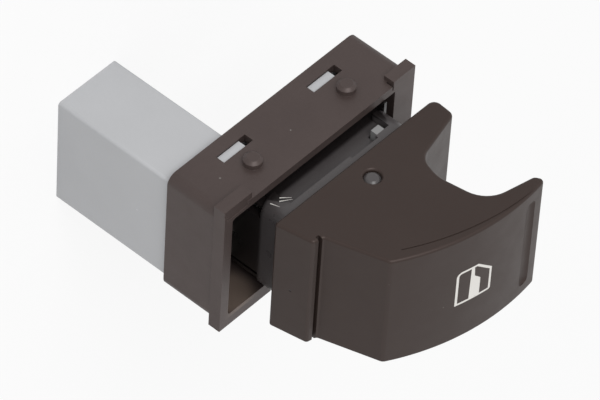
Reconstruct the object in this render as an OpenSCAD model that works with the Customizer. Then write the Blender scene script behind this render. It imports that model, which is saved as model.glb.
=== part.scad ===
// Door window switch: a rocker with a pull lip on a snap-in case with a plug shroud behind.
// +Z points out of the door panel, +X toward the pull lip, +Y along the rocker's pivot.
// The origin lies in the plane of the case's front rim, midway between its long sides and half a
// millimetre from its middle. Lengths are in millimetres.

/* [Case] */
// Length of the case along the panel slot
case_l = 37.8; // [32:0.1:46]
// Case's middle along the slot
case_x = 0.5; // [-1:0.1:2]
// Width of the case
case_w = 22; // [20:0.1:30]
// Depth of the case behind its front rim
case_d = 10.6; // [9.8:0.1:16]
// Wall of the case
case_wall = 1.4; // [1:0.1:2]
// Radius of the case's long corners
case_r = 1.6; // [0.8:0.1:3]
// How far the two end flanges stand out
flange_out = 1.4; // [0.8:0.1:3]
// Thickness of the end flanges
flange_t = 2; // [1:0.1:3]
// Width of the front bar under the pull lip, inside the end wall
bar_l = 2.4; // [0.6:0.1:3]
// Radius of the flange ends
flange_r = 1.3; // [0.5:0.1:2.5]
// Length of the relief beside each flange on the rim
relief_l = 4; // [2:0.1:6]
// Depth of that relief below the rim
relief_d = 1.2; // [0.5:0.1:2]
// Width of that relief across the rim
relief_w = 0.8; // [0.4:0.1:1.2]
// Distance of that relief from the case's end
relief_in = 0.4; // [0.2:0.1:1]
// Length of the board ledges on the end walls
ledge_l = 1; // [0.6:0.1:1.6]
// Width of the board ledges
ledge_w = 8; // [4:0.5:12]
// Height of the board ledges
ledge_h = 1.2; // [0.8:0.1:2]

/* [Side studs and latch windows] */
// Diameter of the four guide studs
stud_d = 2.8; // [2:0.1:4]
// Height of the guide studs
stud_h = 1.2; // [0.6:0.1:2]
// Bevel on the studs' ends
stud_bevel = 0.4; // [0.1:0.05:0.5]
// Distance between the two studs of one side
stud_pitch = 18.8; // [14:0.1:22]
// Stud pair's middle along the case
stud_x = 0.9; // [-2:0.1:2]
// Stud centre below the rim
stud_z = 4.25; // [3:0.05:5]
// Length of a latch window
window_l = 5.7; // [4:0.1:7]
// Height of a latch window
window_h = 1.5; // [1:0.1:2.2]
// Distance between the two latch windows of one side
window_pitch = 18; // [15:0.1:20]
// Window pair's middle along the case
window_x = 0.7; // [-1.5:0.1:1.5]
// Window's lower edge above the case's back
window_z = 2.1; // [1.9:0.1:3]

/* [Plug shroud] */
// Shroud size along the case
shroud_l = 11.3; // [10:0.1:15]
// Shroud width
shroud_w = 19.1; // [17:0.1:19.4]
// Shroud length behind the case
shroud_d = 20.6; // [12:0.1:30]
// Shroud wall
shroud_wall = 1.4; // [1:0.1:2]
// Shroud's outer face from the case's end
shroud_inset = 0.6; // [0.2:0.1:3]
// Thickness of the base plate in the case
base_t = 1.7; // [1.2:0.1:1.8]
// Wall of the base's latch tabs
tab_t = 1; // [0.8:0.1:1.4]
// How much of a latch window its lug leaves free
lug_free = 1.3; // [0.5:0.1:2]
// Gap round a lug in its window
lug_gap = 0.05; // [0.02:0.01:0.15]
// How far a lug stays behind the case's side
lug_recess = 0.35; // [0.1:0.05:0.8]
// Thickness of the shroud's floor behind the case
floor_t = 1.6; // [1.2:0.1:2.4]
// Width of the polarising rib in the shroud
rib_w = 1.6; // [1:0.1:2.4]
// Height of the polarising rib
rib_h = 0.9; // [0.6:0.1:1.4]
// Diameter of the pads under the circuit board
pad_d = 2.4; // [1.6:0.1:3]
// Thickness of the two latch arms beside the circuit board's middle
arm_t = 1.2; // [0.8:0.1:1.6]
// Width of the latch arms
arm_w = 1.3; // [1:0.1:1.6]
// Length of the hook on each latch arm
hook_l = 1.5; // [1:0.1:2]
// How far the hook's far end lies from its arm
hook_reach = 2.2; // [2:0.1:3]
// Height of the hooks
hook_h = 1.1; // [0.8:0.1:1.6]

/* [Terminals] */
// Number of blades in the row
blade_n = 4; // [2:1:5]
// Blade pitch
blade_pitch = 3.96; // [3.6:0.01:4.2]
// Blade width
blade_w = 1.6; // [1:0.1:2.2]
// Blade thickness
blade_t = 0.6; // [0.4:0.1:1]
// Free length of a blade in the shroud
blade_free = 8.9; // [6:0.1:12]
// Length of a blade's bevelled tip
tip_l = 1; // [0.5:0.1:1.6]
// Thickness of a blade at its tip
tip_t = 0.24; // [0.1:0.02:0.4]
// Width of a blade's solder tail
tail_w = 0.8; // [0.5:0.1:1]
// How far a solder tail stands out of the board
tail_out = 0.5; // [0.2:0.1:0.9]
// How far a blade's wide part ends below the board
tail_drop = 0.3; // [0.1:0.1:0.6]
// Gap between a blade and its hole in the housing
blade_gap = 0.02; // [0.01:0.01:0.05]
// Gap between a solder tail and its hole in the board
tail_gap = 0.1; // [0.05:0.05:0.2]

/* [Circuit board] */
// Board thickness
board_t = 1.6; // [1:0.1:2]
// Gap below the board for solder and leads
board_gap = 1.2; // [0.8:0.1:2]
// Gap from the board's edge to what surrounds it
board_clear = 0.25; // [0.1:0.05:0.6]
// Sheet thickness of the dome mat
mat_t = 0.8; // [0.6:0.1:1.2]
// Diameter of a dome
dome_d = 4.2; // [3:0.1:5]
// Height of a dome above the sheet
dome_h = 1.9; // [1.4:0.1:2.4]
// Distance between the two domes under one plunger
dome_pitch = 8; // [6:0.1:10]
// Diameter of a contact pill
pill_d = 2; // [1.2:0.1:2.6]
// Thickness of a contact pill
pill_t = 0.4; // [0.3:0.1:0.6]
// Gap between a pill and its pads on the board at rest
contact_gap = 0.9; // [0.9:0.05:1.2]
// Diameter of the domes' crowns
dome_top_d = 2.6; // [2:0.1:3]
// Wall at the foot of a dome
dome_skin = 0.45; // [0.3:0.05:0.6]
// Margin of the mat's sheet round its domes
mat_margin = 0.5; // [0.2:0.1:0.8]
// Side of the square light-emitting diode
led_l = 2.7; // [2:0.1:3]
// Height of the light-emitting diode's body
led_h = 0.6; // [0.4:0.1:0.8]
// Length of a chip resistor
chip_l = 2; // [1.6:0.1:2.4]

/* [Rocker] */
// Width of the rocker along its pivot
rocker_w = 20.6; // [19:0.1:21.4]
// Wall of the rocker's shell
rocker_wall = 1.2; // [1:0.1:1.6]
// Rocker's rear edge above the rim
rocker_z = 5.15; // [4.8:0.05:7]
// Radius of the crown
crown_r = 38; // [32:0.5:46]
// Height of the crown's top above the rim
crown_z = 25.85; // [25.2:0.05:27.4]
// Crown's top along the case
crown_x = 11.3; // [10.3:0.1:12.3]
// Length of the tactile groove across the crown
groove_l = 16.6; // [10:0.1:18]
// Width of the tactile groove
groove_w = 2; // [1:0.1:3]
// Depth of the tactile groove
groove_d = 0.45; // [0.2:0.05:0.8]
// Groove's middle along the case
groove_x = 14.2; // [13:0.1:14.6]
// Depth of the shallow panel on each side of the rocker
panel_d = 0.1; // [0.05:0.05:0.2]
// Border round that panel
panel_border = 1.3; // [1:0.1:2]
// Width of the shadow groove behind the rear block
shadow_w = 0.6; // [0.4:0.1:0.9]
// Depth of the shadow groove
shadow_d = 0.8; // [0.5:0.1:1]
// Thickness of the fingers that push the plungers
finger_t = 1.2; // [0.8:0.1:1.6]

/* [Pivot] */
// Pivot axis along the case
pivot_x = 1.43; // [1:0.01:2]
// Pivot axis above the rim
pivot_z = 8.42; // [8:0.02:9]
// Diameter of the pivot studs
pivot_d = 2.4; // [1.8:0.1:3]
// Radial running gap in the pivot
pivot_gap = 0.05; // [0.02:0.01:0.1]
// Outer diameter of the pivot hole's bevel
bevel_d = 3.2; // [2.9:0.1:4]
// Depth of that bevel
bevel_t = 0.35; // [0.2:0.05:0.5]
// How far the pivot studs end below the rocker's sides
stud_recess = 0.2; // [0.1:0.05:0.4]
// Bevel on the pivot studs' ends
pivot_bevel = 0.3; // [0.2:0.05:0.5]
// Radius of the carrier's pivot ears
ear_r = 2.4; // [2:0.1:3]
// Gap between rocker wall and carrier on each side
side_gap = 0.3; // [0.2:0.05:0.5]

/* [Carrier and plungers] */
// Wall of the carrier
carrier_wall = 1.2; // [0.9:0.1:1.5]
// Lower edge of the carrier's cheeks above the rim
cheek_z = 3; // [2.6:0.1:3.4]
// Upper edge of the carrier's skirt above the rim
skirt_z = 6.6; // [6:0.1:6.9]
// Thickness of the carrier's deck
deck_t = 1.4; // [1:0.1:1.8]
// Where a cheek's lower edge steps up, along the case
notch_x = 3; // [0:0.1:6]
// Height of that step
notch_h = 0.45; // [0.2:0.05:0.6]
// Thickness of the inner walls between the cheeks
inner_t = 0.6; // [0.5:0.1:0.8]
// Gap between the inner walls and the dome mat
inner_gap = 0.2; // [0.1:0.05:0.4]
// Thickness of the end plate that slides between the case's sides
plate_t = 0.5; // [0.4:0.1:0.8]
// Upper edge of that end plate above the rim
plate_z = 0.3; // [0:0.1:0.6]
// Outer face of the carrier's end wall beside the flange end
carrier_x0 = -11.4; // [-11.6:0.1:-10.4]
// Outer face of the carrier's end wall under the pull lip
carrier_x1 = 13.6; // [12.6:0.1:14]
// Corner radius of the carrier
carrier_r = 2.6; // [1.5:0.1:3.5]
// Distance of each plunger from the pivot axis
plunger_arm = 6; // [5.5:0.1:6.5]
// Plunger size along the case
plunger_l = 2.6; // [2:0.1:3.2]
// Plunger size along the pivot
plunger_w = 6; // [4:0.1:7]
// Plunger gap in its guide
guide_gap = 0.15; // [0.1:0.01:0.25]
// Gap between a plunger's top and the rocker's finger
finger_gap = 0.3; // [0.2:0.05:0.4]
// Top of the plungers above the rim
plunger_top = 7.6; // [7.2:0.1:7.8]
// Thickness of a plunger's foot
foot_t = 1; // [0.8:0.1:1.4]
// Length of a plunger's foot along the case
foot_l = 3.4; // [2.8:0.1:4]
// How far a plunger's foot reaches past the middles of its domes
foot_over = 1; // [0.6:0.1:1.6]

/* [Light] */
// Light guide size along the case
guide_l = 2.6; // [2:0.1:3.2]
// Light guide size along the pivot
guide_w = 5; // [4:0.1:6]
// Top of the light guide above the rim
guide_z = 20.5; // [18:0.1:21]
// Gap between the light guide and the deck's hole
light_gap = 0.05; // [0.02:0.01:0.1]
// Lower end of the light guide above the board
guide_lift = 1.2; // [1:0.1:2]
// Width of the shoulders that hang the guide on the deck
shoulder_w = 1; // [0.6:0.1:1.4]
// Height of those shoulders
shoulder_h = 0.8; // [0.5:0.1:0.9]
// Width of the window symbol along the pivot
symbol_w = 6.6; // [5.6:0.1:7.6]
// Height of the window symbol along the crown
symbol_h = 5.8; // [5:0.1:6.5]
// Line width of the symbol
symbol_line = 0.4; // [0.3:0.05:0.6]
// Symbol's middle along the case
symbol_x = 3.88; // [3:0.02:4.5]
// Symbol's middle along the pivot
symbol_y = 0.1; // [-1:0.1:1]
// Depth of the symbol in the crown
symbol_t = 0.5; // [0.3:0.05:0.7]

/* [Hidden] */
$fn = 48;
eps = 0.01;

// Inside of the case and the pieces stacked in it
inner_l = case_l - 2 * case_wall;
inner_w = case_w - 2 * case_wall;
seat_gap = 0.1;
base_top = -case_d + base_t;
board_z = base_top + board_gap;
board_top = board_z + board_t;
mouth_z = -case_d - shroud_d;
corner_r = 0.5;
board_l = inner_l - 2 * board_clear;
board_w = inner_w - 2 * seat_gap - 2 * tab_t - 2 * board_clear;
mat_top = board_top + mat_t;
dome_top = mat_top + dome_h;
shroud_x = case_x - case_l / 2 + shroud_inset + shroud_l / 2;
lug_l = window_l - lug_free;

// Carrier and rocker, across the pivot
rocker_in = rocker_w / 2 - rocker_wall;
carrier_w = 2 * (rocker_in - side_gap);
carrier_l = carrier_x1 - carrier_x0;
carrier_x = (carrier_x0 + carrier_x1) / 2;
deck_z = skirt_z - deck_t;
stud_end = rocker_w / 2 - stud_recess;
leg_w = 11;

// Dome mat, and the latch arms that pass it
mat_l = 2 * plunger_arm + dome_d + 2 * mat_margin;
mat_w = dome_pitch + dome_d + 2 * mat_margin;
wall_y = mat_w / 2 + inner_gap;
arm_x = carrier_x1 - carrier_r - board_clear;
hook_x0 = arm_x - hook_reach;
arm_y = wall_y - inner_gap - arm_w / 2;
hook_y = min(carrier_w / 2, inner_w / 2 - seat_gap);

function plunger_x(side) = pivot_x + side * plunger_arm;

// Joins the straight lines through the corners with arcs; a corner is [x, z, radius]
function unit(v) = v / norm(v);
function arc_corner(p, v, n, r) =
    let (a = unit(p - v), b = unit(n - v), half = acos(a * b) / 2, c = v + unit(a + b) * r / sin(half),
         s = v + a * r / tan(half), start = atan2(s.y - c.y, s.x - c.x), sweep = 180 - 2 * half,
         turn = cross(a, b) > 0 ? -1 : 1, steps = max(2, ceil(sweep / 9)))
    [for (i = [0 : steps]) let (a = start + turn * sweep * i / steps) c + r * [cos(a), sin(a)]];
function flat(k) = [k.x, k.y];
function rounded(keys) = [for (i = [0 : len(keys) - 1])
    each keys[i][2] <= 0 ? [flat(keys[i])] :
        arc_corner(flat(keys[(i + len(keys) - 1) % len(keys)]), flat(keys[i]),
                   flat(keys[(i + 1) % len(keys)]), keys[i][2])];

// The same corners moved inward by a wall; the outline runs counter-clockwise
function inward(a, b) = let (d = unit(b - a)) [-d.y, d.x];
function inset(keys, wall) = [for (i = [0 : len(keys) - 1])
    let (p = flat(keys[(i + len(keys) - 1) % len(keys)]), v = flat(keys[i]),
         n = flat(keys[(i + 1) % len(keys)]),
         a = inward(p, v), b = inward(v, n), q = v + (a + b) * wall / (1 + a * b),
         convex = cross(v - p, n - v) > 0)
    [q.x, q.y, keys[i][2] <= 0 ? 0 : convex ? max(0.2, keys[i][2] - wall) : keys[i][2] + wall]];

// Side outline of the rocker, from the rear edge round the pull lip and back over the crown
function crown_at(x) = crown_z - crown_r + sqrt(crown_r * crown_r - (x - crown_x) * (x - crown_x));
lip_x = 17.15;
front_x = -8.35;
rear_x = -14.05;
heel_x = 17.5;
block_x = -12.9;
block_z = rocker_z + 5.6;
step_x = -11.3;
step_z = block_z + 0.35;
scoop_x = 8.95;
rear_keys = [[rear_x, rocker_z, 0.4], [heel_x, rocker_z, 1], [heel_x - 0.45, rocker_z + 3.6, 0.8]];
scoop_keys = [[8.7, rocker_z + 5.8, 3], [7.45, rocker_z + 9.7, 5], [scoop_x, crown_z - 2.6, 3.4]];
lip_keys = [[14.9, crown_z - 2.4, 5], [16.95, crown_z - 1.45, 0.5]];
left_keys = [[front_x, crown_at(front_x), 1.1], [step_x, step_z, 0.3], [block_x, block_z, 0.5]];
function crown_keys(from, to, n) =
    [for (i = [0 : n]) let (x = from + (to - from) * i / n) [x, crown_at(x), 0]];
outer_keys = concat(rear_keys, scoop_keys, lip_keys, [[lip_x, crown_at(lip_x), 0.5]],
                    crown_keys(lip_x - 1.2, front_x + 1.2, 18), left_keys);
hollow_keys = concat(rear_keys, scoop_keys, [[scoop_x, crown_at(scoop_x), 0]],
                     crown_keys(scoop_x - 2.5, front_x + 1.2, 13), left_keys);
panel_keys = concat(
    [[front_x - 3.4, rocker_z, 0], [pivot_x + 2.7, rocker_z, 0], [pivot_x + 5, crown_z - 1.5, 0.6]],
    crown_keys(pivot_x + 3.2, front_x + 1.2, 10), [[front_x + 0.3, crown_at(front_x) - 0.3, 0]]);

// Turns an outline drawn in X and Z into a slab of the given width, centred on the pivot's middle
module slab(width) translate([0, width / 2, 0]) rotate([90, 0, 0]) linear_extrude(width) children();

// Block with rounded vertical corners, standing on z = 0
module rounded_block(l, w, h, r) linear_extrude(h) {
    square([l - 2 * r, w], center = true);
    square([l, w - 2 * r], center = true);
    for (x = [-1, 1], y = [-1, 1]) translate([x * (l / 2 - r), y * (w / 2 - r)]) circle(r);
}

module box(l, w, h) translate([-l / 2, -w / 2, 0]) cube([l, w, h]);

// Both long sides of the case
module both_sides() for (s = [0, 1]) mirror([0, s, 0]) children();

// End flange: rounded in the panel's plane
module flange(side)
    translate([case_x + side * (case_l / 2 + (flange_out - case_wall) / 2), 0, -flange_t])
        rounded_block(case_wall + flange_out, case_w, flange_t, flange_r);

// Guide stud on a long side: a short cylinder with a bevelled end
module guide_stud() {
    rotate([-90, 0, 0]) {
        cylinder(d = stud_d, h = stud_h - stud_bevel);
        translate([0, 0, stud_h - stud_bevel])
            cylinder(d1 = stud_d, d2 = stud_d - 2.5 * stud_bevel, h = stud_bevel);
    }
}

// Case: a moulded frame, open at the front and at the back
module case() color([0.20, 0.19, 0.18]) {
    difference() {
        union() {
            translate([case_x, 0, -case_d]) rounded_block(case_l, case_w, case_d, case_r);
            for (s = [-1, 1]) flange(s);
        }
        translate([case_x, 0, -case_d - eps]) rounded_block(inner_l, inner_w, case_d + 2 * eps, corner_r);
        both_sides() {
            for (s = [-1, 1]) translate([window_x + s * window_pitch / 2, case_w / 2, -case_d + window_z])
                box(window_l, 4 * case_wall, window_h);
            for (s = [-1, 1])
                translate([case_x + s * (case_l / 2 - relief_l / 2 - relief_in), case_w / 2, -relief_d])
                    box(relief_l, 2 * relief_w, relief_d + eps);
        }
    }
    both_sides() for (s = [-1, 1])
        translate([stud_x + s * stud_pitch / 2, case_w / 2, -stud_z]) guide_stud();
    // Ledges inside the end walls that the circuit board is clamped under
    for (s = [-1, 1])
        translate([case_x + s * (inner_l - ledge_l) / 2, 0, board_top]) box(ledge_l, ledge_w, ledge_h);
    // Front bar across the end under the pull lip
    translate([case_x + (inner_l - bar_l) / 2, 0, -flange_t]) box(bar_l + 2 * eps, inner_w + 2 * eps, flange_t);
}

// Latch tab of the base with its lug in the case's window
module latch_tab(side) {
    lug_y0 = inner_w / 2 - seat_gap - tab_t / 2;
    lug_y1 = case_w / 2 - lug_recess;
    translate([window_x + side * window_pitch / 2, inner_w / 2 - seat_gap - tab_t / 2, -case_d])
        box(lug_l, tab_t, window_z + window_h);
    translate([window_x + side * window_pitch / 2 - lug_free / 2 + lug_gap, (lug_y0 + lug_y1) / 2,
               -case_d + window_z + lug_gap])
        box(lug_l, lug_y1 - lug_y0, window_h - 2 * lug_gap);
}

// Latch arm beside the dome mat; its hook passes out under the carrier's cheek and holds it
module latch_arm() {
    translate([arm_x, arm_y, base_top - eps]) box(arm_t, arm_w, cheek_z - base_top);
    translate([hook_x0, arm_y - arm_w / 2, cheek_z - hook_h]) {
        cube([hook_reach, arm_w, hook_h]);
        cube([hook_l, hook_y - arm_y + arm_w / 2, hook_h]);
    }
}

// Connector housing: base plate, plug shroud, latch tabs and the two latch arms for the carrier
module connector_housing() color([0.66, 0.67, 0.69]) {
    difference() {
        union() {
            translate([case_x, 0, -case_d])
                rounded_block(inner_l - 2 * seat_gap, inner_w - 2 * seat_gap, base_t, corner_r);
            translate([shroud_x, 0, mouth_z]) rounded_block(shroud_l, shroud_w, shroud_d, corner_r);
        }
        translate([shroud_x, 0, mouth_z - eps])
            rounded_block(shroud_l - 2 * shroud_wall, shroud_w - 2 * shroud_wall,
                          shroud_d - floor_t + eps, corner_r);
        blade_holes();
    }
    both_sides() {
        for (s = [-1, 1]) latch_tab(s);
        latch_arm();
    }
    // Pads that carry the circuit board
    for (x = [-1, 1], y = [-1, 1])
        translate([case_x + x * (board_l / 2 - pad_d), y * (board_w / 2 - pad_d), base_top - eps])
            cylinder(d = pad_d, h = board_gap + eps);
    // Polarising rib inside the shroud, up to the socket's floor
    translate([shroud_x + shroud_l / 2 - shroud_wall - rib_h / 2 + eps, 0, mouth_z + rib_h])
        box(rib_h + eps, rib_w, shroud_d - floor_t - rib_h + eps);
}

// One blade: bevelled tip, shank through the shroud's floor and solder tail through the board
blade_top = board_top + tail_out;
blade_tip = -case_d - floor_t - blade_free;
shank_top = board_z - tail_drop;
function blade_y(i) = (i - (blade_n + 1) / 2) * blade_pitch;
module blade(i) color([0.80, 0.72, 0.52]) translate([shroud_x, blade_y(i), 0]) {
    translate([0, 0, blade_tip + tip_l]) box(blade_t, blade_w, shank_top - blade_tip - tip_l);
    translate([0, 0, blade_tip]) slab(blade_w)
        polygon([[-tip_t / 2, 0], [tip_t / 2, 0], [blade_t / 2, tip_l], [-blade_t / 2, tip_l]]);
    translate([0, 0, shank_top - eps]) box(blade_t, tail_w, blade_top - shank_top + eps);
}
module blade_holes()
    for (i = [1 : blade_n]) translate([shroud_x, blade_y(i), -case_d - floor_t - 1])
        box(blade_t + 2 * blade_gap, blade_w + 2 * blade_gap, floor_t + base_t + 2);

// Circuit board with the holes of the blade tails and of the latch arms
module circuit_board() color([0.16, 0.38, 0.22]) difference() {
    translate([case_x, 0, board_z]) box(board_l, board_w, board_t);
    for (i = [1 : blade_n]) translate([shroud_x, blade_y(i), board_z - eps])
        box(blade_t + 2 * tail_gap, tail_w + 2 * tail_gap, board_t + 2 * eps);
    both_sides() translate([arm_x, arm_y, board_z - eps])
        box(arm_t + 2 * board_clear, arm_w + 2 * board_clear, board_t + 2 * eps);
}

// Silicone mat: a sheet with four hollow domes, each holding a contact pill over the board
dome_rise = 0.7 * dome_h;
function dome_at(i) = [plunger_x(i <= 2 ? -1 : 1), (i % 2 == 0 ? 1 : -1) * dome_pitch / 2];
module dome_mat() color([0.82, 0.82, 0.80]) difference() {
    union() {
        translate([pivot_x, 0, board_top]) box(mat_l, mat_w, mat_t);
        for (i = [1 : 4]) translate([dome_at(i).x, dome_at(i).y, mat_top - eps]) {
            cylinder(d1 = dome_d, d2 = dome_top_d, h = dome_rise + eps);
            translate([0, 0, dome_rise]) cylinder(d = dome_top_d, h = dome_h - dome_rise + eps);
        }
    }
    for (i = [1 : 4]) translate([dome_at(i).x, dome_at(i).y, board_top - eps])
        cylinder(d1 = dome_d - 2 * dome_skin, d2 = pill_d, h = contact_gap + pill_t + eps);
    translate([pivot_x, 0, board_top - eps])
        box(led_l + 2 * board_clear, led_l + 2 * board_clear, mat_t + 2 * eps);
}
module contact_pill(i) color([0.10, 0.10, 0.11])
    translate([dome_at(i).x, dome_at(i).y, board_top + contact_gap]) cylinder(d = pill_d - 0.1, h = pill_t);

// Plunger: a foot over two domes and a stem up to the rocker's finger, with a rounded top
module plunger(side) color([0.86, 0.86, 0.84]) translate([plunger_x(side), 0, 0]) {
    translate([0, 0, dome_top + 2 * eps]) box(foot_l, dome_pitch + 2 * foot_over, foot_t);
    translate([0, 0, dome_top + foot_t])
        box(plunger_l, plunger_w, plunger_top - dome_top - foot_t - plunger_l / 2);
    translate([0, plunger_w / 2, plunger_top - plunger_l / 2])
        rotate([90, 0, 0]) cylinder(d = plunger_l, h = plunger_w);
}
module press_plunger() plunger(1);
module pull_plunger() plunger(-1);

// Carrier: a collar inside the rocker with a guide deck, two pivot ears and walls down to the board
module collar(grow, bottom, top)
    translate([carrier_x, 0, bottom])
        rounded_block(carrier_l + 2 * grow, carrier_w + 2 * grow, top - bottom, carrier_r + grow);
module pivot_ear() {
    translate([0, (carrier_w - carrier_wall) / 2, 0]) slab(carrier_wall) {
        translate([pivot_x, pivot_z]) circle(ear_r);
        translate([pivot_x - ear_r, deck_z]) square([2 * ear_r, pivot_z - deck_z]);
    }
    translate([pivot_x, carrier_w / 2 - eps, pivot_z]) rotate([-90, 0, 0]) {
        cylinder(d = pivot_d, h = stud_end - carrier_w / 2 - pivot_bevel + eps);
        translate([0, 0, stud_end - carrier_w / 2 - pivot_bevel + eps])
            cylinder(d1 = pivot_d, d2 = pivot_d - 2.6 * pivot_bevel, h = pivot_bevel);
    }
}
module carrier() color([0.17, 0.17, 0.19]) {
    difference() {
        collar(0, 0, skirt_z);
        collar(-carrier_wall, -1, deck_z);
        // The cheeks end above the rim, so that the case's long walls stay clear
        translate([carrier_x, 0, -eps]) box(carrier_l - 2 * carrier_r, carrier_w + 2, cheek_z + eps);
        translate([notch_x, -carrier_w / 2 - 1, cheek_z - eps])
            cube([hook_x0 - board_clear - notch_x, carrier_w + 2, notch_h]);
        for (s = [-1, 1]) translate([plunger_x(s), 0, deck_z - 1])
            box(plunger_l + 2 * guide_gap, plunger_w + 2 * guide_gap, deck_t + 2);
        translate([pivot_x, 0, deck_z - 1]) box(guide_l + 2 * light_gap, guide_w + 2 * light_gap, deck_t + 2);
    }
    both_sides() {
        pivot_ear();
        // Inner wall beside the dome mat, with a gate for the latch arm and its hook
        difference() {
            translate([carrier_x0 + carrier_wall / 2, wall_y, board_top + eps])
                cube([carrier_l - carrier_wall, inner_t, deck_z - board_top]);
            translate([hook_x0 - board_clear, wall_y - 1, cheek_z - hook_h - board_clear])
                cube([hook_l + 2 * board_clear, inner_t + 2, hook_h + board_clear + eps]);
        }
    }
    // Legs that stand on the board at both ends of the dome mat
    for (x = [carrier_x0 + carrier_wall / 2, carrier_x1 - carrier_wall / 2])
        translate([x, 0, board_top + eps]) box(carrier_wall, leg_w, plate_z - board_top);
    // End plate between the case's sides
    translate([carrier_x1 - plate_t / 2, 0, board_top + eps])
        box(plate_t, inner_w - 4 * seat_gap, plate_z - board_top);
}

// Tactile groove across the crown, below the pull lip's edge
module tactile_groove() translate([groove_x, 0, crown_at(groove_x) - groove_d])
    rounded_block(groove_w, groove_l, 2, groove_w / 2 - 0.1);

// Fingers under the crown that push the plungers, and ribs that stiffen the crown
finger_z = plunger_top + finger_gap;
module finger(side) translate([plunger_x(side), 0, finger_z])
    box(finger_t, plunger_w, crown_at(plunger_x(side)) - rocker_wall / 2 - finger_z);

// Rocker: a moulded shell with the crown, the pull lip and the finger scoop
module rocker_button() color([0.24, 0.22, 0.21]) {
    difference() {
        slab(rocker_w) polygon(rounded(outer_keys));
        slab(2 * rocker_in) polygon(rounded(inset(hollow_keys, rocker_wall)));
        // Mouth of the hollow at the rear edge
        translate([0, 0, rocker_z - eps]) slab(2 * rocker_in) polygon([
            [rear_x + rocker_wall, 0], [heel_x - rocker_wall, 0],
            [heel_x - rocker_wall - 0.2, rocker_wall + 0.4],
            [rear_x + rocker_wall + 0.35, rocker_wall + 0.4]]);
        // Shadow groove between the rear block and the front face
        translate([step_x - 0.15 - shadow_w, -rocker_w / 2 - 1, step_z - shadow_d])
            cube([shadow_w, rocker_w + 2, 3]);
        tactile_groove();
        symbol_cut();
        both_sides() {
            // Shallow panel on the side
            translate([0, rocker_w / 2, 0]) slab(2 * panel_d)
                polygon(rounded(inset(panel_keys, panel_border)));
            translate([pivot_x, rocker_w / 2 - panel_d, pivot_z]) rotate([90, 0, 0]) {
                translate([0, 0, -panel_d - 1]) cylinder(d = pivot_d + 2 * pivot_gap, h = rocker_wall + 2);
                translate([0, 0, -eps]) cylinder(d1 = bevel_d, d2 = pivot_d + 2 * pivot_gap, h = bevel_t);
            }
        }
    }
    finger(-1);
    finger(1);
}

// Window symbol: the outline of a door glass with its channel and a half-open pane, let into the crown
symbol_keys = [[-symbol_h / 2, -symbol_w / 2, 0.2], [symbol_h / 2, -symbol_w * 0.47, 0.3],
               [symbol_h / 2, symbol_w * 0.2, 0.2], [symbol_h * 0.04, symbol_w / 2, 0.2],
               [-symbol_h / 2, symbol_w * 0.42, 1]];
pane_x0 = -symbol_h * 0.12;
pane_x1 = symbol_h * 0.18;
pane_y = symbol_w * 0.1;
module symbol_outline() {
    difference() {
        polygon(rounded(symbol_keys));
        polygon(rounded(inset(symbol_keys, symbol_line)));
    }
    // Half-open pane with a slanted top, and the channel that it runs in
    intersection() {
        polygon(rounded(symbol_keys));
        polygon([[pane_x0, -symbol_w], [pane_x1, -symbol_w], [pane_x1, pane_y],
                 [pane_x0 + 1.6 * symbol_line, pane_y + symbol_line], [pane_x0 + 1.6 * symbol_line, symbol_w],
                 [pane_x0, symbol_w]]);
    }
}
symbol_tilt = -asin((symbol_x - crown_x) / crown_r);
module symbol_place(depth, height)
    translate([symbol_x, symbol_y, crown_at(symbol_x)]) rotate([0, -symbol_tilt, 0]) translate([0, 0, -depth])
        linear_extrude(height) symbol_outline();
module symbol_cut() symbol_place(symbol_t, 2);
module window_symbol() color([0.92, 0.92, 0.90]) intersection() {
    symbol_place(symbol_t - eps, 2);
    slab(rocker_w) polygon(rounded(outer_keys));
}

// Light-emitting diode below the light guide, and the guide that carries its light under the crown
module led() color([0.95, 0.93, 0.80]) translate([pivot_x, 0, board_top]) {
    box(led_l, led_l, led_h);
    translate([0, 0, led_h - eps]) cylinder(d = led_l * 0.75, h = led_h / 2);
}
module light_guide() color([0.88, 0.92, 0.95]) {
    translate([pivot_x, 0, board_top + guide_lift]) box(guide_l, guide_w, guide_z - board_top - guide_lift);
    // Shoulders that hang the guide on the deck
    translate([pivot_x, 0, skirt_z + eps]) box(guide_l, guide_w + 2 * shoulder_w, shoulder_h);
}

// Chip resistors beside the dome mat
module resistor(i) color([0.12, 0.12, 0.14])
    translate([carrier_x0 - 1.6 * chip_l, (i - 2) * 2 * chip_l, board_top])
        box(0.6 * chip_l, chip_l, chip_l / 4);

connector_housing();
circuit_board();
dome_mat();
press_plunger();
pull_plunger();
led();
light_guide();
case();
carrier();
rocker_button();
window_symbol();
for (i = [1 : 4]) blade(i);
for (i = [1 : 4]) contact_pill(i);
for (i = [1 : 3]) resistor(i);
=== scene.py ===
# Door window switch: a black rocker with a pull lip, on a snap-in case with a grey plug shroud.
# The part's lengths are in millimetres, and MM turns them into Blender's metres. The table's and
# the lamp's sizes and the camera's distance are in metres.

import math

import bmesh
import bpy
import numpy as np
from mathutils import Matrix, Vector


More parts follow.
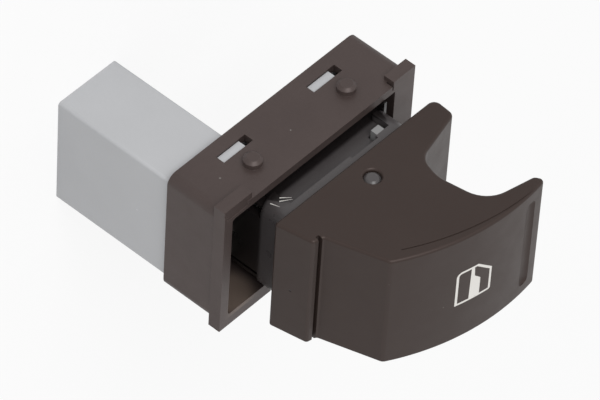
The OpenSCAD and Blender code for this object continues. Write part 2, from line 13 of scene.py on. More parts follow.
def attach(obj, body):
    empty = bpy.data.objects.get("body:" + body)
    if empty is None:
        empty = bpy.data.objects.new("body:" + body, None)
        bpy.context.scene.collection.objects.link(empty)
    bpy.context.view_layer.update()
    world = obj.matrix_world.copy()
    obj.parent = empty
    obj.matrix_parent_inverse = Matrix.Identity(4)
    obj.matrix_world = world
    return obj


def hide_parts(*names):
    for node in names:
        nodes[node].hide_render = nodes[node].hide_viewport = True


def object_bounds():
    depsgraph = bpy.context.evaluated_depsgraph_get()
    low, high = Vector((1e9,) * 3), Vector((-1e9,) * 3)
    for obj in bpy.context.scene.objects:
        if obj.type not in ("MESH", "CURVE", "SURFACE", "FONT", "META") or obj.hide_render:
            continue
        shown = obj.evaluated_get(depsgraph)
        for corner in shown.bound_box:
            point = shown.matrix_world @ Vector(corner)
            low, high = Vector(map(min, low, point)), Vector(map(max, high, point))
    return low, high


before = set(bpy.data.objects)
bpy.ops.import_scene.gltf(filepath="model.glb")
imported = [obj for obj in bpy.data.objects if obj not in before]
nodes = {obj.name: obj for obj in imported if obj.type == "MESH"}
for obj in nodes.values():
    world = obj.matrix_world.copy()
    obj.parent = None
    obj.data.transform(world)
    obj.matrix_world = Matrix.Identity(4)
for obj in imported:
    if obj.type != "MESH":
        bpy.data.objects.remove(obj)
cad_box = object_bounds()
MM = 0.001

# The table under the part: a plain pale sheet that the plug shroud's mouth stands on. It is matt,
# and it is lit mostly by its own white, so that it stays even and keeps only a faint shadow.
TABLE_HALF = 1.5
TABLE_OWN_LIGHT = 0.86
TABLE_MOTTLE = 40


class Shade:
    """One output of a material's nodes. Sums, differences and products of outputs add Math nodes."""

    def __init__(self, tree, socket=None):
        self.tree = tree
        self.socket = socket

    def node(self, kind, settings=None, inputs=None, output=0):
        """Adds a node of that kind, gives it its settings, then its sockets' values or links."""
        made = self.tree.nodes.new(kind)
        for name, value in (settings or {}).items():
            setattr(made, name, value)
        for name, value in (inputs or {}).items():
            if isinstance(value, Shade):
                self.tree.links.new(value.socket, made.inputs[name])
            else:
                made.inputs[name].default_value = value
        return Shade(self.tree, made.outputs[output])

    def math(self, operation, first, second):
        return self.node("ShaderNodeMath", {"operation": operation}, {0: first, 1: second})

    def __add__(self, other):
        return self.math("ADD", self, other)

    __radd__ = __add__

    def __sub__(self, other):
        return self.math("SUBTRACT", self, other)

    def __rsub__(self, other):
        return self.math("SUBTRACT", other, self)

    def __mul__(self, other):
        return self.math("MULTIPLY", self, other)

    __rmul__ = __mul__

    def noise(self, size, detail=2.0, rough=0.5):
        """Soft random values from 0 to 1 on Object coordinates, with lumps of about that size."""
        return self.node("ShaderNodeTexNoise", None,
                         {"Vector": self.place(), "Scale": 1 / (size * MM),
                          "Detail": detail, "Roughness": rough})

    def place(self):
        """Object coordinates, which are metres in the part's frame."""
        return self.node("ShaderNodeTexCoord", output=3)

    def along(self, axis):
        """One of the object coordinates: 0 along the case, 1 along the pivot, 2 out of the panel."""
        return self.node("ShaderNodeSeparateXYZ", None, {0: self.place()}, output=axis)

    def step(self, value, low, high, start=0.0, end=1.0):
        """Goes smoothly from start to end while the value goes from low to high."""
        return self.node("ShaderNodeMapRange", {"interpolation_type": "SMOOTHSTEP"},
                         {"Value": value, "From Min": low, "From Max": high, "To Min": start, "To Max": end})

    def spot(self, centre, radius, soft=0.3):
        """1 inside a ball round a point of the part, and 0 outside it."""
        away = self.node("ShaderNodeVectorMath", {"operation": "DISTANCE"},
                         {0: self.place(), 1: [c * MM for c in centre]}, output=1)
        return self.step(away, radius * MM * (1 - soft), radius * MM * (1 + soft), 1.0, 0.0)

    def mix(self, factor, first, second):
        """Goes from the first colour to the second as the factor goes from 0 to 1."""
        return self.node("ShaderNodeMix", {"data_type": "RGBA"}, {0: factor, 6: first, 7: second}, output=2)

    def bump(self, height, depth, under=None):
        """Tilts the surface by a height from 0 to 1 that stands for that depth in millimetres."""
        sockets = {"Height": height, "Distance": depth * MM, "Strength": 1.0}
        if under is not None:
            sockets["Normal"] = under
        return self.node("ShaderNodeBump", None, sockets)


def new_material(name):
    """An empty material, with the start of its shader maths and its output node."""
    made = bpy.data.materials.new(name)
    made.use_nodes = True
    made.node_tree.nodes.clear()
    output = made.node_tree.nodes.new("ShaderNodeOutputMaterial")
    return made, Shade(made.node_tree), output


def grey(level):
    """An opaque neutral colour."""
    return (level, level, level, 1.0)


def mesh_piece(name, points, faces, material):
    """A new object at the origin from points in millimetres and their faces."""
    mesh = bpy.data.meshes.new(name)
    mesh.from_pydata((np.asarray(points, float) * MM).tolist(), [], faces)
    mesh.update()
    piece = bpy.data.objects.new(name, mesh)
    bpy.context.scene.collection.objects.link(piece)
    mesh.materials.append(material)
    return piece


table_paint, shade, output = new_material("table_paint")
mottle = shade.mix(shade.noise(TABLE_MOTTLE), grey(0.86), grey(0.9))
lit = shade.node("ShaderNodeBsdfDiffuse", None, {"Color": mottle})
own = shade.node("ShaderNodeEmission", None, {"Color": grey(1.0), "Strength": 1.0})
seen = shade.node("ShaderNodeLightPath")
table_look = shade.node("ShaderNodeMixShader", None, {0: seen * TABLE_OWN_LIGHT, 1: lit, 2: own})
shade.tree.links.new(table_look.socket, output.inputs["Surface"])
table_z = cad_box[0][2] / MM
table_corners = [[x * TABLE_HALF / MM, y * TABLE_HALF / MM, table_z]
                 for x, y in ((-1, -1), (1, -1), (1, 1), (-1, 1))]
table = mesh_piece("table", table_corners, [(0, 1, 2, 3)], table_paint)

# The studio: white all round, and one wide soft lamp above the side that carries the symbol's
# upright stroke, so that the long side is the brightest and edges toward it catch a thin light.
SKY_DIFFUSE = 0.62
LAMP_SIZE = 0.9
LAMP_WATTS = 10.0
LAMP_AT = Vector((-0.35, 1.1, 0.75))

world = bpy.data.worlds.new("studio")
bpy.context.scene.world = world
world.use_nodes = True
world.node_tree.nodes.clear()
sky = Shade(world.node_tree)
rays = sky.node("ShaderNodeLightPath")
glossy = Shade(sky.tree, rays.socket.node.outputs["Is Glossy Ray"])
through = Shade(sky.tree, rays.socket.node.outputs["Is Transmission Ray"])
plain = sky.math("MAXIMUM", sky.math("MAXIMUM", rays, glossy), through)
backdrop = sky.node("ShaderNodeBackground", None,
                    {"Color": grey(1.0), "Strength": plain * (1 - SKY_DIFFUSE) + SKY_DIFFUSE})
world_output = sky.tree.nodes.new("ShaderNodeOutputWorld")
sky.tree.links.new(backdrop.socket, world_output.inputs["Surface"])

lamp = bpy.data.objects.new("soft_lamp", bpy.data.lights.new("soft_lamp", "AREA"))
bpy.context.scene.collection.objects.link(lamp)
lamp.data.shape = "DISK"
lamp.data.size = LAMP_SIZE
lamp.data.energy = LAMP_WATTS
lamp.matrix_world = Matrix.Translation(LAMP_AT) @ (-LAMP_AT).to_track_quat("-Z", "Y").to_matrix().to_4x4()

# The camera stands where the photo's did: far off with a long lens, above the case's long side
# and the rocker's crown, and rolled so that the plug shroud points to the upper left.
VIEW_AZIMUTH = math.radians(214.98)
VIEW_HEIGHT = math.radians(25.02)
VIEW_ROLL = math.radians(124.99)
VIEW_AIM = Vector((-0.80, -0.81, -1.97)) * MM
VIEW_DISTANCE = 0.7985
LENS = 353.4

back = Vector((math.sin(VIEW_AZIMUTH) * math.cos(VIEW_HEIGHT),
               -math.cos(VIEW_AZIMUTH) * math.cos(VIEW_HEIGHT), math.sin(VIEW_HEIGHT)))
level = Vector((math.cos(VIEW_AZIMUTH), math.sin(VIEW_AZIMUTH), 0))
right = math.cos(VIEW_ROLL) * level + math.sin(VIEW_ROLL) * back.cross(level)
camera = bpy.data.objects.new("camera", bpy.data.cameras.new("camera"))
bpy.context.scene.collection.objects.link(camera)
camera.data.lens = LENS
camera.data.sensor_width = 36
turn = Matrix((right, back.cross(right), back)).transposed().to_4x4()
camera.matrix_world = Matrix.Translation(VIEW_AIM + back * VIEW_DISTANCE) @ turn
bpy.context.scene.camera = camera
bpy.context.scene.view_settings.view_transform = "Standard"


# How the mould leaves a plastic face: lumps of colour and of height, each with its size and its depth
# in millimetres, and the range that the roughness varies over.
CLOUD_SIZE = 9
SPECK_SIZE = 0.35
SPECK_SHARE = 0.3
GRAIN_SIZE = 0.12
GRAIN_DEPTH = 0.006
SINK_SIZE = 14
SINK_DEPTH = 0.10
SHEEN_SIZE = 2.5
SHEEN_RANGE = 0.16
PLASTIC_IOR = 1.5
MARK_SIDE_SOFT = 0.1


def moulded(name, light, dark, rough, marks=(), shine=0.5, warmth=(1, 1, 1, 1), shadow=None):
    """Moulded plastic: a fine spark-eroded grain, slow colour drift, and spots: scuffs, pits, specks, and
    patches of painted shade and painted light.
    A mark is [centre, radius, colour, depth], and a depth above zero sinks it into the surface. A
    fifth value keeps the mark on the far side of that place along the pivot. The shadow is a
    function that takes the shader maths and gives a mask and the colour that shows where it is 0."""
    made, shade, output = new_material(name)
    cloud = shade.noise(CLOUD_SIZE, 3)
    speck = shade.noise(SPECK_SIZE, 2)
    colour = shade.mix(cloud * (1 - SPECK_SHARE) + speck * SPECK_SHARE, dark, light)
    surface = shade.bump(shade.noise(GRAIN_SIZE, 3, 0.6), GRAIN_DEPTH)
    surface = shade.bump(shade.noise(SINK_SIZE, 1), SINK_DEPTH, surface)
    if shadow:
        mask, dark_tint = shadow(shade)
        colour = shade.mix(mask, dark_tint, colour)
    for centre, radius, tint, depth, *edge in marks:
        mask = shade.spot(centre, radius)
        if edge:
            low, high = (edge[0] - MARK_SIDE_SOFT) * MM, (edge[0] + MARK_SIDE_SOFT) * MM
            mask = mask * shade.step(shade.along(1), low, high)
        colour = shade.mix(mask, colour, tint)
        if depth:
            surface = shade.bump(1 - mask, depth, surface)
    sheen = shade.noise(SHEEN_SIZE, 4) * SHEEN_RANGE + (rough - SHEEN_RANGE / 2)
    shader = shade.node("ShaderNodeBsdfPrincipled", None,
                        {"Base Color": colour, "Roughness": sheen, "Normal": surface, "IOR": PLASTIC_IOR,
                         "Specular IOR Level": shine, "Specular Tint": warmth})
    shade.tree.links.new(shader.socket, output.inputs["Surface"])
    return made


WELD_GAP = 0.001
FLAT_ANGLE = math.radians(0.6)
SHARP_ANGLE = math.radians(32)


def dress(piece, material, edge=0.0, steps=3):
    """Gives a piece its material, and rounds its edges by that radius in millimetres."""
    piece.data.materials.clear()
    piece.data.materials.append(material)
    if edge:
        weld = piece.modifiers.new("weld", "WELD")
        weld.merge_threshold = WELD_GAP * MM
        flatten = piece.modifiers.new("flatten", "DECIMATE")
        flatten.decimate_type = "DISSOLVE"
        flatten.angle_limit = FLAT_ANGLE
        rounding = piece.modifiers.new("rounding", "BEVEL")
        rounding.width = edge * MM
        rounding.segments = steps
        rounding.limit_method = "ANGLE"
        rounding.angle_limit = SHARP_ANGLE
        rounding.harden_normals = True


# The plug housing: one light grey moulding with the shroud, the base in the case, four latch tabs
# and the latch arms that hold the carrier. It has a pale scuff on the shroud, and painted shade, a
# darker grey, round the hook that shows beside the rocker, as that hook lies deep in the switch.
HOUSING_SCUFF_AND_SHADE = [[(-17.6, -0.42, -16.34), 0.2, (0.8, 0.8, 0.8, 1), 0],
                 # painted shade on the hook beside the rocker
                 [(9.4, 7.4, 2.4), 2.4, (0.24, 0.24, 0.24, 1), 0]]
housing_grey = moulded("housing_grey", (0.485, 0.490, 0.503, 1), (0.425, 0.430, 0.443, 1), 0.42,
                       marks=HOUSING_SCUFF_AND_SHADE)
dress(nodes["connector_housing"], housing_grey, 0.15)

# The case: a black moulded frame with guide studs and latch windows. It is the CAD node's mesh with
# its end flanges cut back, and with legs at its corners that stand out sideways over the panel.
def rounded_outline(corners, inset=0.0, steps=9):
    """Closed outline through corners (a, b, radius), counter-clockwise. Each side is moved inward by
    the inset, and each corner becomes an arc that touches both of its sides; an inset takes off the
    radii of outer corners and adds to those of inner ones."""
    corners = np.asarray(corners, float)
    point = corners[:, :2]
    along = point - np.roll(point, 1, 0)
    along /= np.linalg.norm(along, axis=1)[:, None]
    leave = np.roll(along, -1, 0)
    inward = np.column_stack([-along[:, 1], along[:, 0]]) + np.column_stack([-leave[:, 1], leave[:, 0]])
    straight = (along * leave).sum(1)
    moved = point + inward * (inset / (1 + straight))[:, None]
    left = np.sign(along[:, 0] * leave[:, 1] - along[:, 1] * leave[:, 0])
    turn = np.arccos(np.clip(straight, -1, 1)) * left
    radius = np.where(turn > 0, np.maximum(corners[:, 2] - inset, 0.04), corners[:, 2] + inset)
    side = np.sign(turn)[:, None]
    start = moved - along * (radius * np.tan(np.abs(turn) / 2))[:, None]
    centre = start + side * radius[:, None] * np.column_stack([-along[:, 1], along[:, 0]])
    angle = turn[:, None] * np.linspace(0, 1, steps)
    spoke = (start - centre)[:, None, :]
    swung = np.stack([spoke[..., 0] * np.cos(angle) - spoke[..., 1] * np.sin(angle),
                      spoke[..., 0] * np.sin(angle) + spoke[..., 1] * np.cos(angle)], -1)
    arcs = centre[:, None, :] + swung
    return np.concatenate([arc if r > 0 else [m] for arc, r, m in zip(arcs, corners[:, 2], moved)])


def grid_faces(rows, columns):
    """Quads of a grid of rows whose columns close on themselves, and one face over each end."""
    row, column = np.meshgrid(np.arange(rows - 1) * columns, np.arange(columns), indexing="ij")
    following = (column + 1) % columns
    above = row + columns
    quads = np.stack([row + column, row + following, above + following, above + column], -1)
    ends = [list(range(columns))[::-1], list(range((rows - 1) * columns, rows * columns))]
    return quads.reshape(-1, 4).tolist() + ends


def across(corners, width, edge=0.0, middle=0.0, steps=6):
    """Points and faces of a plate across the pivot. The outline at each row is moved inward as a
    quarter circle asks, so that both long edges are round."""
    angle = np.linspace(0, math.pi / 2, steps if edge else 1)
    inset = edge * (1 - np.sin(angle)) if edge else np.zeros(1)
    place = width / 2 - edge * (1 - np.cos(angle)) if edge else np.array([width / 2])
    inset = np.concatenate([inset, inset[::-1]])
    place = np.concatenate([-place, place[::-1]]) + middle
    rings = [rounded_outline(corners, d) for d in inset]
    rows = [np.column_stack([ring[:, 0], np.full(len(ring), y), ring[:, 1]]) for ring, y in zip(rings, place)]
    return np.concatenate(rows), grid_faces(len(rings), len(rings[0]))


def set_outward(piece):
    """Turns every face of a closed piece outward."""
    bm = bmesh.new()
    bm.from_mesh(piece.data)
    bmesh.ops.recalc_face_normals(bm, faces=bm.faces)
    bm.to_mesh(piece.data)
    bm.free()


def cut(piece, points, faces, operation="DIFFERENCE"):
    """Cuts a closed shape out of a piece, or joins it on with UNION, and applies the result."""
    tool = mesh_piece("tool", points, faces, piece.data.materials[0])
    set_outward(tool)
    change = piece.modifiers.new("cut", "BOOLEAN")
    change.operation = operation
    change.object = tool
    change.solver = "EXACT"
    bpy.context.view_layer.update()
    evaluated = piece.evaluated_get(bpy.context.evaluated_depsgraph_get())
    result = bpy.data.meshes.new_from_object(evaluated)
    piece.modifiers.clear()
    piece.data = result
    bpy.data.objects.remove(tool)


def lathe(profile, centre, axis, sides=48):
    """A turned solid: the profile (distance along the axis, radius) goes round the axis."""
    profile = np.asarray(profile, float)
    angle = np.arange(sides) * 2 * math.pi / sides
    step = np.repeat(profile[:, :1], sides, 1)
    ring = np.stack([step, profile[:, 1:] * np.cos(angle), profile[:, 1:] * np.sin(angle)], -1)
    order = {"x": [0, 1, 2], "y": [2, 0, 1], "z": [1, 2, 0]}[axis]
    points = ring[..., order] + np.asarray(centre, float)
    return points.reshape(-1, 3), grid_faces(len(profile), sides)


def smooth(piece):
    """Shades a piece smooth, apart from edges that turn by more than that. Flat faces stay flat."""
    piece.data.shade_smooth()
    piece.data.set_sharp_from_angle(angle=SHARP_ANGLE)
    flat = piece.modifiers.new("flat_faces", "WEIGHTED_NORMAL")
    flat.keep_sharp = True
    flat.weight = 100


def block(low, high):
    """A box between two corners."""
    (x0, y0, z0), (x1, y1, z1) = low, high
    return across([(x0, z0, 0), (x1, z0, 0), (x1, z1, 0), (x0, z1, 0)], y1 - y0, middle=(y0 + y1) / 2)


def merged_copy(node, name):
    """A free piece from a CAD node's mesh, with the points of its facets merged."""
    mesh = nodes[node].data.copy()
    mesh.name = name
    piece = bpy.data.objects.new(name, mesh)
    bpy.context.scene.collection.objects.link(piece)
    bm = bmesh.new()
    bm.from_mesh(mesh)
    bmesh.ops.remove_doubles(bm, verts=bm.verts, dist=WELD_GAP * MM)
    bmesh.ops.recalc_face_normals(bm, faces=bm.faces)
    bm.to_mesh(mesh)
    bm.free()
    return piece


# Marks: two pale specks on the top, and painted light on the pocket's inner wall, a lighter brown
# that is kept off the outside.
CASE_SPECKS_AND_LIGHT = [[(-13.6, 11.0, -5.5), 0.14, (0.16, 0.15, 0.14, 1), 0],
              [(-0.55, 11.0, -4.6), 0.1, (0.2, 0.19, 0.18, 1), 0],
              # painted light on the pocket's inner wall
              [(-14.2, -9.4, -2.8), 3.6, (0.13, 0.098, 0.08, 1), 0, -10.3]]
CASE_ENDS = (-18.62, 19.62)
case_black = moulded("case_black", (0.066, 0.049, 0.045, 1), (0.036, 0.025, 0.023, 1), 0.45,
                     marks=CASE_SPECKS_AND_LIGHT, shine=0.46, warmth=(1, 0.88, 0.86, 1))
case_frame = merged_copy("case", "case_frame")
case_frame.data.materials.clear()
case_frame.data.materials.append(case_black)
cut(case_frame, *block((-21, -13, -3), (CASE_ENDS[0], 13, 1)))
cut(case_frame, *block((CASE_ENDS[1], -13, -3), (22, 13, 1)))
LEGS = [((CASE_ENDS[0], 10.0, -2.0), (-13.2, 12.1, -0.1)), ((CASE_ENDS[0], -11.85, -2.0), (-8.2, -9.8, 0.0)),
        ((15.2, 10.0, -1.8), (CASE_ENDS[1], 11.8, 0.0)), ((15.2, -11.85, -1.8), (CASE_ENDS[1], -10.0, 0.0))]
for low, high in LEGS:
    cut(case_frame, *block(low, high), operation="UNION")
dress(case_frame, case_black, 0.2)
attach(case_frame, "case_body")
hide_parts("case")

# The carrier: a glossier black collar that the rocker pivots on. Its lower part, down in the case,
# has painted shade, near black as nothing lights it there, and on the near long side the painted
# shade reaches higher.
SHADE_RIM = 0.2
SHADE_SOFT = 0.4
SHADE_REACH = 2.8
SHADE_SIDE = (8.3, 9)


def painted_case_shade(shade):
    """The painted shade's mask, 0 below the rim and 1 above it, with the rim raised on the near long side,
    and its near-black colour.
    """
    rise = shade.step(shade.along(1), SHADE_SIDE[0] * MM, SHADE_SIDE[1] * MM) * SHADE_REACH * MM
    low, high = (SHADE_RIM - SHADE_SOFT) * MM, (SHADE_RIM + SHADE_SOFT) * MM
    return shade.step(shade.along(2) - rise, low, high), (0.010, 0.008, 0.008, 1)


carrier_black = moulded("carrier_black", (0.068, 0.061, 0.061, 1), (0.052, 0.046, 0.047, 1), 0.3,
                        shadow=painted_case_shade)
dress(nodes["carrier"], carrier_black, 0.2)

# The flash: three thin burrs that the mould's seam left at the carrier's corner. Each is a tapered
# rod from its root to its tip.
FLASH = [((-11.0, 9.15, 1.3), (-10.7, 9.35, 2.75)), ((-9.9, 9.15, 1.9), (-8.5, 9.35, 3.0)),
         ((-9.4, 9.15, 1.5), (-8.3, 9.3, 2.7))]
FLASH_ROOT = 0.08
FLASH_TIP = 0.02


def sliver(root, tip, sides=8):
    """Points and faces of a rod that goes straight from a wide root to a thin tip."""
    root, tip = np.asarray(root), np.asarray(tip)
    along = (tip - root) / np.linalg.norm(tip - root)
    first = np.cross(along, [0, 1, 0])
    first /= np.linalg.norm(first)
    angle = np.arange(sides)[:, None] * 2 * math.pi / sides
    ring = np.cos(angle) * first + np.sin(angle) * np.cross(along, first)
    return np.concatenate([root + ring * FLASH_ROOT, tip + ring * FLASH_TIP]), grid_faces(2, sides)


flash_white = moulded("flash_white", (0.62, 0.60, 0.57, 1), (0.45, 0.43, 0.41, 1), 0.3)
for count, (root, tip) in enumerate(FLASH, 1):
    burr = mesh_piece(f"flash_{count}", *sliver(root, tip), flash_white)
    set_outward(burr)
    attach(burr, "case_body")

# The rocker: one moulded shell in black plastic with a fine satin grain. Its side outline runs from
# the rear edge round the finger scoop and the pull lip, and back over the crown to the rear block.
ROCKER_WIDE = 20.6
ROCKER_WALL = 1.2
CROWN_RADIUS = 38.0
CROWN_TOP = (11.3, 25.845)
SIDE_EDGE = 0.45


def crown_height(x):
    """The crown is a round arch: its height at x is that of a circle round a point under its top."""
    return CROWN_TOP[1] - CROWN_RADIUS + np.sqrt(CROWN_RADIUS ** 2 - (x - CROWN_TOP[0]) ** 2)


def crown_corners(start, end, count):
    """Plain points on the crown, as corners with no radius."""
    x = np.linspace(start, end, count)
    return np.column_stack([x, crown_height(x), 0 * x])


LIP_X = 17.4
FRONT_X = -8.4
BLOCK = (-12.95, 10.7)
STEP = (-11.35, 11.05)
SCOOP = (8.9, 22.15)
REAR_CORNERS = [(-14.1, 4.7, 0.4), (18.0, 4.9, 1.2), (17.7, 8.75, 1.1)]
SCOOP_CORNERS = [(8.7, 10.95, 3.0), (7.65, 14.7, 5.0), (*SCOOP, 4.5)]
LIP_CORNERS = [(16.6, 23.9, 0.9), (LIP_X, crown_height(LIP_X), 0.6)]
FRONT_CORNERS = [(FRONT_X, crown_height(FRONT_X), 1.1), (*STEP, 0.5), (*BLOCK, 0.6)]
outer = np.concatenate([REAR_CORNERS, SCOOP_CORNERS, LIP_CORNERS,
                        crown_corners(LIP_X - 1.3, FRONT_X + 1.2, 60), FRONT_CORNERS])
hollow = np.concatenate([REAR_CORNERS, SCOOP_CORNERS, [(SCOOP[0], crown_height(SCOOP[0]), 0)],
                         crown_corners(SCOOP[0] - 2.5, FRONT_X + 1.2, 24), FRONT_CORNERS])
hollow = rounded_outline(hollow, ROCKER_WALL)
hollow = np.column_stack([hollow, np.zeros(len(hollow))])

# Marks: the dark pit in the rear block, and three pale specks on the front and the crown.
ROCKER_MARKS = [[(-13.43, -1.31, 7.68), 0.2, (0.006, 0.005, 0.005, 1), 0.1],
                [(-9.8, -5.5, 18.3), 0.1, (0.16, 0.14, 0.13, 1), 0],
                [(-0.72, -2.3, 23.9), 0.1, (0.1, 0.09, 0.08, 1), 0],
                [(-8.37, 5.73, 20.36), 0.09, (0.1, 0.09, 0.08, 1), 0]]
rocker_black = moulded("rocker_black", (0.033, 0.0225, 0.019, 1), (0.024, 0.016, 0.013, 1), 0.42,
                       marks=ROCKER_MARKS, shine=0.35, warmth=(1, 0.84, 0.81, 1))
rocker = mesh_piece("rocker_shell", *across(outer, ROCKER_WIDE, SIDE_EDGE), rocker_black)
set_outward(rocker)

# Its inside follows the same outline, one wall further in, and is open below between the side walls.
rocker_in = ROCKER_WIDE - 2 * ROCKER_WALL
cut(rocker, *across(hollow, rocker_in))
mouth = [(-12.85, 4, 0), (16.8, 4, 0), (16.6, 6.5, 0), (-12.5, 6.5, 0)]
cut(rocker, *across(mouth, rocker_in))

# The two fingers that push the plungers down: flat ribs of the same moulding. They grow from the
# crown's underside, one at each side of the pivot.
PIVOT = (1.43, 8.42)
FINGER_ARM = 6.0
FINGER_Z = 7.9
FINGER_THICK = 1.2
FINGER_WIDE = 6.0
for arm in (-FINGER_ARM, FINGER_ARM):
    left, right = PIVOT[0] + arm - FINGER_THICK / 2, PIVOT[0] + arm + FINGER_THICK / 2
    top = crown_height(PIVOT[0] + arm) - ROCKER_WALL / 2
    finger = [(left, FINGER_Z, 0), (right, FINGER_Z, 0), (right, top, 0), (left, top, 0)]
    cut(rocker, *across(finger, FINGER_WIDE), operation="UNION")

# The shadow groove between the rear block and the crown's front face. It has straight walls and a
# flat floor, and it is open at both sides.
SHADOW_X = STEP[0] - 0.45
SHADOW_HALF = 0.3
SHADOW_FLOOR = STEP[1] - 0.8
SHADOW_OPEN = STEP[1] + 3
shadow = [(SHADOW_X - SHADOW_HALF, SHADOW_FLOOR, 0.1), (SHADOW_X + SHADOW_HALF, SHADOW_FLOOR, 0.1),
          (SHADOW_X + SHADOW_HALF, SHADOW_OPEN, 0), (SHADOW_X - SHADOW_HALF, SHADOW_OPEN, 0)]
cut(rocker, *across(shadow, ROCKER_WIDE + 2))

# The tactile groove across the crown, that a finger finds in the dark: a shallow round channel. It
# is turned round an axis above the crown, and each of its ends runs out in a quarter circle.
GROOVE_X = 14.2
GROOVE_LONG = 16.6
GROOVE_DEEP = 0.45
GROOVE_HALF = 1.0
channel = (GROOVE_HALF ** 2 + GROOVE_DEEP ** 2) / (2 * GROOVE_DEEP)
end = np.linspace(0, math.pi / 2, 12)
reach = GROOVE_LONG / 2 - GROOVE_HALF + GROOVE_HALF * np.sin(end)
run_out = np.column_stack([reach, channel - GROOVE_DEEP + GROOVE_DEEP * np.cos(end)])
groove_profile = np.concatenate([run_out[::-1] * [-1, 1], run_out])
groove_axis = (GROOVE_X, 0, crown_height(GROOVE_X) + channel - GROOVE_DEEP)
cut(rocker, *lathe(groove_profile, groove_axis, "y", 96))

# The parting line on each side: a fine groove that leaves the crown's edge at the lip. Its drop
# below that edge grows in proportion to the way from there toward the front.
PARTING_END = 16.1
PARTING_FALL = 0.085
PARTING_HALF = 0.12
PARTING_DEEP = 0.08
run = np.linspace(PARTING_END - 0.6, FRONT_X + 2.6, 40)
fall = crown_height(run) - PARTING_FALL * (PARTING_END - run)
parting = np.concatenate([np.column_stack([run, fall + PARTING_HALF, 0 * run]),
                          np.column_stack([run, fall - PARTING_HALF, 0 * run])[::-1]])
for side in (-1, 1):
    cut(rocker, *across(parting, 2 * PARTING_DEEP, middle=side * ROCKER_WIDE / 2))

# The pivot holes: a bore through each side wall for the carrier's studs, with a turned bevel at its
# mouth. Each point of the turned profile is a place along the pivot and a radius.
PIVOT_HOLE = 1.25
PIVOT_BEVEL = 1.6
for side in (-1, 1):
    face = side * ROCKER_WIDE / 2
    bore = [(face - side * 2.5, PIVOT_HOLE), (face - side * 0.38, PIVOT_HOLE),
            (face - side * 0.22, PIVOT_HOLE + 0.06), (face - side * 0.06, PIVOT_BEVEL - 0.12),
            (face + side * 0.01, PIVOT_BEVEL), (face + side * 1, PIVOT_BEVEL + 0.4)]
    cut(rocker, *lathe(bore, (PIVOT[0], 0, PIVOT[1]), "y"))

# The door glass symbol: white resin let into the crown, as an outline with a rear upright, and a
# half-open pane beside that upright. Its corners are given along the case and along the pivot.
SYMBOL_LINE = 0.42
SYMBOL_DEEP = 0.5
BAND_DROP = 0.03
PANE_DROP = 0.02
ABOVE_CROWN = -1
CROWN_STEP = 0.25
BAND_STEPS = 12
symbol_outer = [(0.98, -3.22, 0.15), (6.98, -3.3, 0.35), (6.98, 1.2, 0.25),
                (4.45, 3.42, 0.2), (0.98, 3.42, 0.9)]
symbol_pane = [(3.2, -3.1, 0.05), (5.0, -3.1, 0.05), (5.0, 0.35, 0.25),
               (3.98, 1.35, 0.1), (3.88, 3.2, 0.05), (3.34, 3.2, 0.05)]


def on_crown(ring, drop):
    """Lays an outline on the crown, and lowers it into the crown by the drop."""
    return np.column_stack([ring[:, 0], ring[:, 1], crown_height(ring[:, 0]) - drop])


def inlaid_ring(outside, inside, top, bottom):
    """A closed band between two outlines with as many points each, from one drop to another."""
    loops = [on_crown(outside, top), on_crown(inside, top),
             on_crown(inside, bottom), on_crown(outside, bottom)]
    count = len(outside)
    row, column = np.meshgrid(np.arange(4), np.arange(count), indexing="ij")
    following = (column + 1) % count
    under = (row + 1) % 4
    quads = np.stack([row * count + column, row * count + following,
                      under * count + following, under * count + column], -1)
    return np.concatenate(loops), quads.reshape(-1, 4).tolist()


def inlaid_plate(ring, top, bottom):
    """A closed plate inside one outline, from one drop to another."""
    return np.concatenate([on_crown(ring, bottom), on_crown(ring, top)]), grid_faces(2, len(ring))


def finer(ring, counts):
    """Cuts each side of an outline into as many parts as its count, so that it can follow the crown."""
    parts = [np.linspace(start, end, count, endpoint=False)
             for start, end, count in zip(ring, np.roll(ring, -1, 0), counts)]
    return np.concatenate(parts)


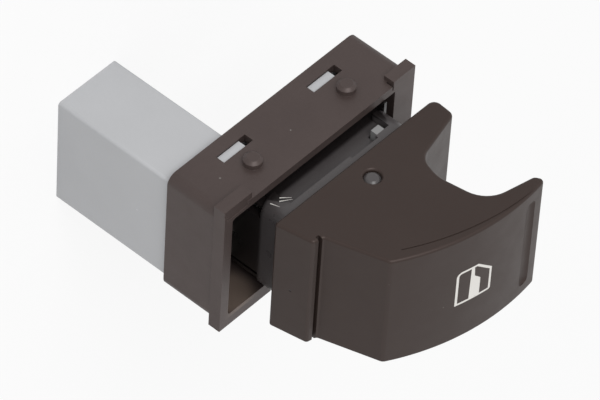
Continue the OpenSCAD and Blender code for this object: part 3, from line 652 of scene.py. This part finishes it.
band_out = rounded_outline(symbol_outer)
band_in = rounded_outline(symbol_outer, SYMBOL_LINE)
band_out = finer(band_out, [BAND_STEPS] * len(band_out))
band_in = finer(band_in, [BAND_STEPS] * len(band_in))
pane = rounded_outline(symbol_pane)
sides = np.linalg.norm(np.roll(pane, -1, 0) - pane, axis=1)
pane = finer(pane, [max(int(side / CROWN_STEP), 1) for side in sides])
cut(rocker, *inlaid_ring(band_out, band_in, ABOVE_CROWN, SYMBOL_DEEP))
cut(rocker, *inlaid_plate(pane, ABOVE_CROWN, SYMBOL_DEEP))
symbol_white = moulded("symbol_white", (0.86, 0.84, 0.80, 1), (0.74, 0.71, 0.67, 1), 0.35)
band_shape = inlaid_ring(band_out, band_in, BAND_DROP, SYMBOL_DEEP)
symbol_band = mesh_piece("symbol_band", *band_shape, symbol_white)
symbol_glass = mesh_piece("symbol_pane", *inlaid_plate(pane, PANE_DROP, SYMBOL_DEEP), symbol_white)
for inlay in (symbol_band, symbol_glass):
    set_outward(inlay)
    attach(inlay, "rocker")
    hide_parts("window_symbol")

smooth(rocker)
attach(rocker, "rocker")
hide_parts("rocker_button")

# The circuit board: a flat board on the housing's base, clamped under ledges of the case. The
# photo doesn't show it: its green is a guess, darkened nearly to black as painted shade where it
# shows deep in the pocket.
board_green_shaded = moulded("board_green_shaded", (0.012, 0.022, 0.014, 1), (0.008, 0.014, 0.009, 1), 0.35)
dress(nodes["circuit_board"], board_green_shaded)

# The dome mat: one milky sheet of silicone over the board, with four domes that the plungers press.
# It keeps the CAD node's mesh and its sharp edges, as nothing of it shows.
silicone = moulded("silicone", (0.62, 0.62, 0.6, 1), (0.55, 0.55, 0.53, 1), 0.6)
dress(nodes["dome_mat"], silicone)

# The two plungers: whitish acetal, one under each finger of the rocker, with edges that are rounded
# just enough to slide.
acetal = moulded("acetal", (0.75, 0.75, 0.72, 1), (0.68, 0.68, 0.65, 1), 0.4)
for name in ("press_plunger", "pull_plunger"):
    dress(nodes[name], acetal, 0.1)

# The symbol's light: a small lamp on the board with a yellowish lens, and a clear guide above it
# that carries its light up toward the crown.
lens = moulded("led_lens", (0.9, 0.88, 0.7, 1), (0.8, 0.77, 0.6, 1), 0.2)
dress(nodes["led"], lens)
clear = moulded("clear_guide", (0.8, 0.85, 0.88, 1), (0.7, 0.76, 0.8, 1), 0.15)
dress(nodes["light_guide"], clear)

# The small parts that come in sets: black resistors on the board, carbon pills in the domes, and
# tinned blades in the plug shroud. The start of a node's name says which set it belongs to.
chip = moulded("chip_black", (0.04, 0.04, 0.045, 1), (0.03, 0.03, 0.03, 1), 0.5)
carbon = moulded("carbon", (0.03, 0.03, 0.03, 1), (0.02, 0.02, 0.02, 1), 0.7)
tinned = moulded("terminal_metal", (0.72, 0.68, 0.58, 1), (0.6, 0.57, 0.5, 1), 0.3)
for start, material in (("resistor", chip), ("contact_pill", carbon), ("blade_terminal", tinned)):
    for name in nodes:
        if name.startswith(start):
            dress(nodes[name], material)
